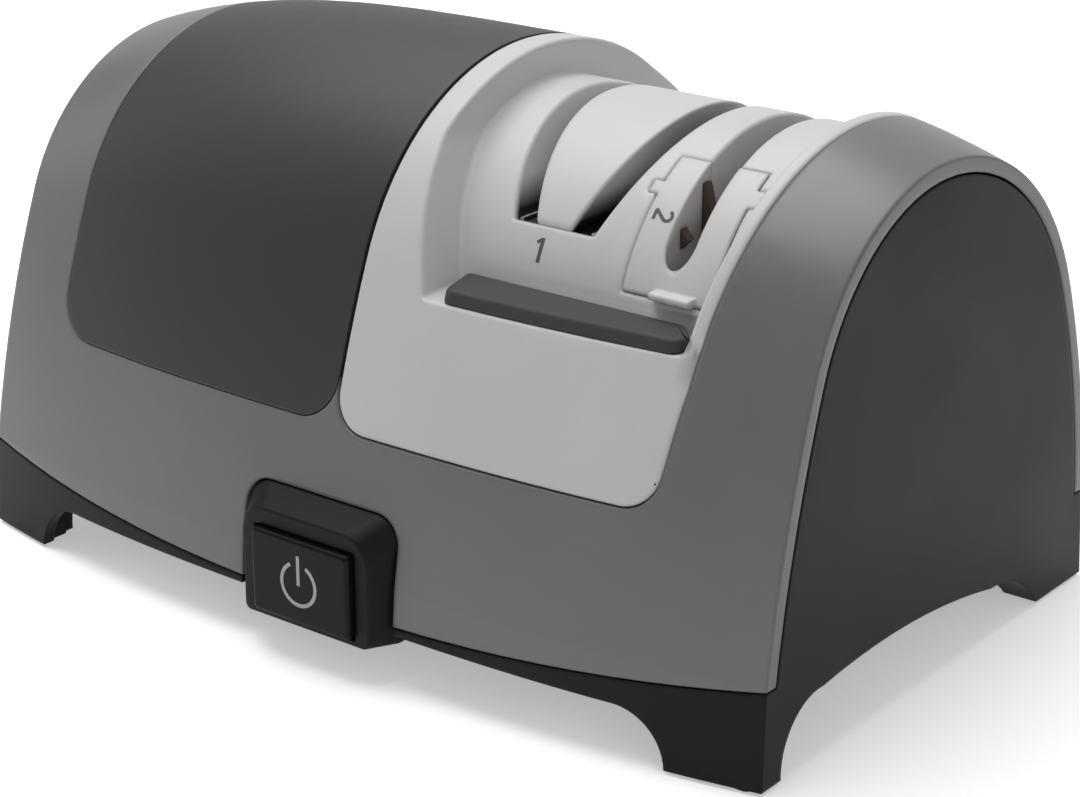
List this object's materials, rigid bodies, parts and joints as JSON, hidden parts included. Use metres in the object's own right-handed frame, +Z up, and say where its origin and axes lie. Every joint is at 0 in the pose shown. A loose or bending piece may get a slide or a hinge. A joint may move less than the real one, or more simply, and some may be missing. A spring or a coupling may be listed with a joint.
{
  "type": "electric knife sharpener",
  "caption": "Compact two-stage electric knife sharpener: arched body on corner feet, motor-driven coarse slots, manual fine slot, blade rest and front push button.",
  "frame": {"origin": "on the floor under the middle of the whole object", "axes": "+X along the motor shaft from the motor to the slots, +Y from the switch side to the rear, +Z up"},
  "size_m": [0.22, 0.155, 0.1231],
  "materials": {
    "grey_shell": "satin moulded plastic, mid grey",
    "grip_charcoal": "soft-touch charcoal plastic",
    "light_grey": "satin moulded plastic, light grey",
    "black_plastic": "fine matt black plastic",
    "button_black": "smooth black plastic",
    "pad_rubber": "dark grey rubber",
    "foot_rubber": "black rubber",
    "ceramic": "dark brown sintered ceramic",
    "abrasive": "bonded abrasive",
    "steel": "turned steel",
    "spring_steel": "spring wire",
    "lamination": "stacked steel sheet",
    "winding": "taped copper winding",
    "die_cast": "die-cast alloy",
    "bronze": "sintered bronze",
    "white_plastic": "white nylon",
    "lead_insulation": "soft black insulation"
  },
  "bodies": {
    "root": {"upper_shell": "grey_shell", "base_housing": "black_plastic", "bottom_plate": "black_plastic", "rubber_feet": "foot_rubber", "shell_screws": "steel", "plate_screws": "steel", "motor_cover": "grip_charcoal", "sharpening_deck": "light_grey", "coarse_guide_wedge": "light_grey", "blade_rest_pad": "pad_rubber", "switch_housing": "black_plastic", "lead_to_switch": "lead_insulation", "lead_to_motor": "lead_insulation", "stator_core": "lamination", "stator_coil": "winding", "end_bracket_right": "die_cast", "end_bush_right": "bronze", "end_bracket_left": "die_cast", "end_bush_left": "bronze", "motor_mount_front": "steel", "motor_mount_rear": "steel", "wheel_guard": "black_plastic", "bearing_pedestal": "black_plastic", "pedestal_bush": "bronze", "button_spring": "spring_steel", "power_switch": "white_plastic", "cord_gland": "black_plastic", "cord_clamp": "black_plastic", "terminal_block": "white_plastic", "guide_spring_left": "spring_steel", "guide_spring_right": "spring_steel", "mount_screws": "steel"},
    "drive": {"motor_shaft": "steel", "rotor": "lamination", "cooling_fan": "white_plastic", "wheel_hub": "steel", "grinding_wheel_left": "abrasive", "grinding_wheel_right": "abrasive", "wheel_spacer": "steel", "wheel_nut": "steel"},
    "cartridge": {"fine_cartridge": "light_grey", "ceramic_stone_front": "ceramic", "ceramic_stone_rear": "ceramic", "cartridge_screw": "steel"},
    "button": {"power_button": "button_black"}
  },
  "joints": [
    {"name": "button_press", "type": "slide", "parent": "root", "child": "button", "axis": [0, 1, 0], "range_m": [0, 0.0022], "stiffness_N_per_m": 600, "springref_m": -0.002, "deforming": ["button_spring"]},
    {"name": "shaft_spin", "type": "hinge", "parent": "root", "child": "drive", "pos_m": [0, 0, 0.0665], "axis": [1, 0, 0], "continuous": true},
    {"name": "cartridge_lift", "type": "slide", "parent": "root", "child": "cartridge", "axis": [0, 0, 1], "range_m": [0, 0.03]}
  ]
}
